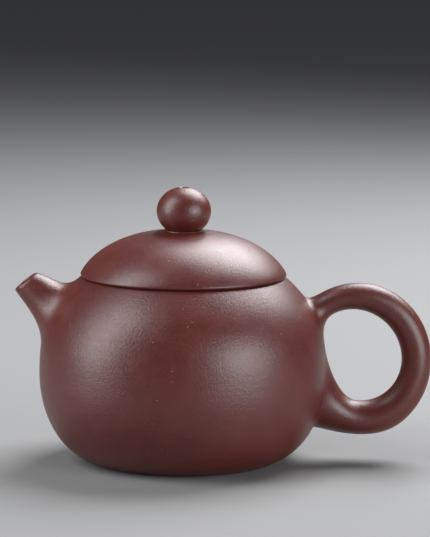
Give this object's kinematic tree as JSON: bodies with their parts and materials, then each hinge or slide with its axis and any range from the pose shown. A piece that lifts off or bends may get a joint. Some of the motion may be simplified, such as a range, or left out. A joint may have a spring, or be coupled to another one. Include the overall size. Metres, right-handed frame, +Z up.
{
  "type": "teapot",
  "caption": "Round squat clay teapot with a short spout, a ring handle, a domed seated lid and a ball knob; the inside has a flange, a mouth collar and a ball strainer.",
  "frame": {"origin": "centre of the resting ring, on the surface that the pot stands on", "axes": "+X towards the handle, -X towards the spout, +Z up through the knob, +Y to the pot's far side when the spout is on the left"},
  "size_m": [0.1306, 0.09, 0.0862],
  "materials": {
    "burnished_clay": "burnished unglazed purple-brown clay, satin",
    "raw_clay": "unburnished fired clay, matt"
  },
  "bodies": {
    "pot": {"body_wall": "burnished_clay", "base_disc": "raw_clay", "mouth_ring": "raw_clay", "spout": "burnished_clay", "strainer_dome": "raw_clay", "handle": "burnished_clay"},
    "lid": {"lid_dome": "burnished_clay", "lid_seat_disc": "raw_clay", "lid_flange": "raw_clay", "knob": "burnished_clay", "knob_slip_ring": "burnished_clay"}
  },
  "joints": [
    {"name": "lid_lift", "type": "slide", "parent": "pot", "child": "lid", "axis": [0, 0, 1], "range_m": [0, 0.045]}
  ]
}
